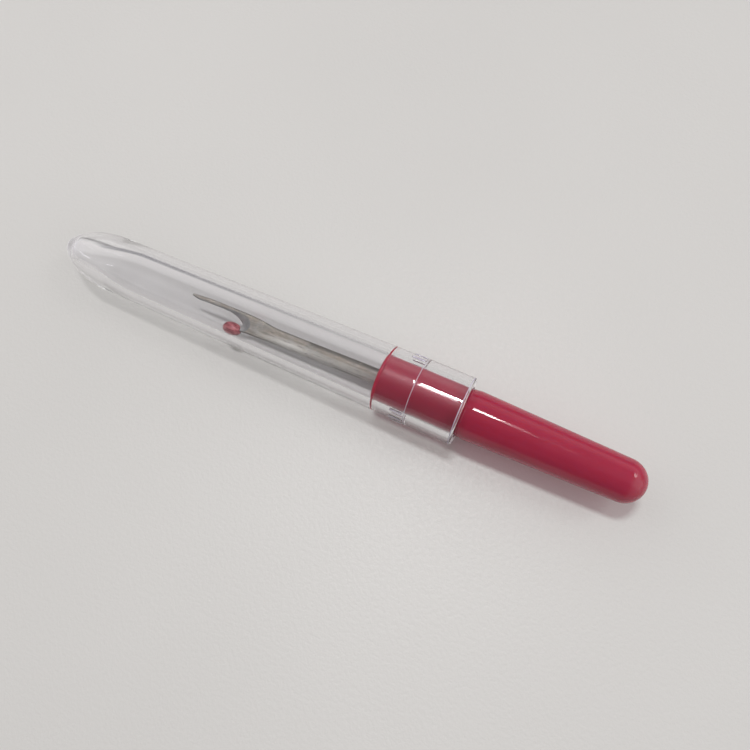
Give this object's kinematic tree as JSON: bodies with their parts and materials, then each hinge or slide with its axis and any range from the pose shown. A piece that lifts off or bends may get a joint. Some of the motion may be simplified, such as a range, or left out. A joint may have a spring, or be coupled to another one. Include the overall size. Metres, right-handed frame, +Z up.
{
  "type": "seam ripper",
  "caption": "Pocket seam ripper: tapered round handle, forked steel blade with a safety ball on its short prong, and a clear push-on cap.",
  "frame": {"origin": "on the resting surface, under the middle of the capped tool's length", "axes": "+X along the tool from the cap's tip to the handle's end, +Z up from the surface that the collar lies on, +Y across the tool; the safety ball is towards -Y"},
  "size_m": [0.09, 0.0096, 0.0097],
  "materials": {
    "handle_plastic": "glossy injection-moulded crimson plastic",
    "forged_steel": "forged and tumbled steel with a ground cutting edge",
    "ball_plastic": "semi-gloss dipped red plastic",
    "clear_plastic": "clear polished moulded plastic"
  },
  "bodies": {
    "tool": {"handle": "handle_plastic", "blade": "forged_steel", "safety_ball": "ball_plastic"},
    "cap": {"clear_cap": "clear_plastic"}
  },
  "joints": [
    {"name": "cap_slide", "type": "slide", "parent": "tool", "child": "cap", "axis": [-1, 0, 0], "range_m": [0, 0.06]}
  ]
}
